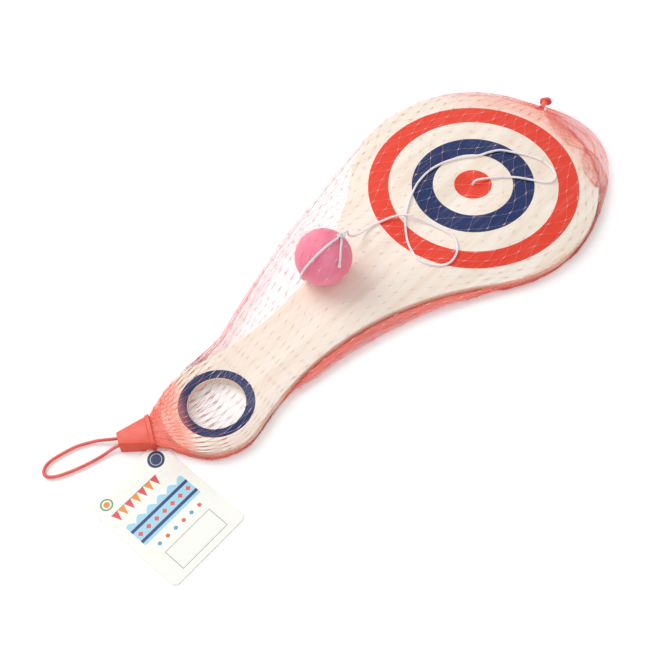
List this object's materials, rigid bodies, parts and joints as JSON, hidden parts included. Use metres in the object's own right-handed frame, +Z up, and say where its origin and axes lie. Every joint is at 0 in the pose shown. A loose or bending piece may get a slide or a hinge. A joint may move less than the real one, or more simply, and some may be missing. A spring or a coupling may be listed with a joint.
{
  "type": "paddle ball toy",
  "caption": "Wooden paddle with a painted target and a rubber ball on an elastic cord, packed in a net sleeve closed by a hinged plastic clip with a hang loop and a card tag.",
  "frame": {"origin": "on the underside of the net sleeve, in the plane that the packed toy lies on, below the middle of the painted target", "axes": "+X from the handle towards the head along the paddle, +Y across the paddle towards the side where the ball lies, +Z up, out of the painted face"},
  "size_m": [0.3411, 0.136, 0.0382],
  "materials": {
    "plywood": "pale birch plywood, smooth, with printed red and navy rings",
    "pink_rubber": "matt solid rubber",
    "white_elastic": "white covered elastic",
    "red_netting": "knitted red polyethylene netting",
    "orange_red_plastic": "moulded, satin",
    "red_plastic_cord": "smooth plastic cord",
    "white_card": "printed white card"
  },
  "bodies": {
    "root": {"paddle_blade": "plywood", "net_sleeve_under": "red_netting", "net_sleeve_head": "red_netting", "net_sleeve_ball": "red_netting", "net_sleeve_handle": "red_netting", "net_tail": "red_netting", "net_tail_seal": "red_netting", "net_neck": "red_netting", "elastic_cord": "white_elastic", "cord_through_blade": "white_elastic", "back_knot": "white_elastic"},
    "ball_tie": {"ball_cord_loop": "white_elastic", "ball_knot": "white_elastic", "cord_tail": "white_elastic"},
    "ball": {"rubber_ball": "pink_rubber"},
    "clip": {"clip_plate": "orange_red_plastic", "net_bunch": "red_netting", "loop_root": "red_plastic_cord", "tag_corner": "white_card"},
    "cap": {"clip_cap": "orange_red_plastic"},
    "loop": {"hang_loop": "red_plastic_cord"},
    "tag": {"hang_tag": "white_card"}
  },
  "joints": [
    {"name": "ball_slide", "type": "slide", "parent": "root", "child": "ball_tie", "axis": [1, 0, 0], "range_m": [-0.008, 0.008], "deforming": ["net_sleeve_ball", "elastic_cord"]},
    {"name": "ball_spin", "type": "hinge", "parent": "ball_tie", "child": "ball", "pos_m": [-0.096, 0.0157, 0.0207], "axis": [0.5031, -0.2841, 0.8162], "continuous": true},
    {"name": "neck_bend", "type": "hinge", "parent": "root", "child": "clip", "pos_m": [-0.2139, 0.01102, 0.0032], "axis": [0.4772, 0.8788, 0], "range_deg": [-40, 40], "deforming": ["net_neck"]},
    {"name": "clip_open", "type": "hinge", "parent": "clip", "child": "cap", "pos_m": [-0.21141, 0.01991, 0.00105], "axis": [-0.9759, 0.2182, 0], "range_deg": [0, 120]},
    {"name": "loop_swing", "type": "hinge", "parent": "clip", "child": "loop", "pos_m": [-0.23117, 0.0204, 0.0028], "axis": [0.4772, 0.8788, 0], "range_deg": [-60, 60]},
    {"name": "tag_flip", "type": "hinge", "parent": "clip", "child": "tag", "pos_m": [-0.22041, 0.00366, 0.0014], "axis": [-0.7145, 0.6997, 0], "range_deg": [-35, 60]}
  ]
}
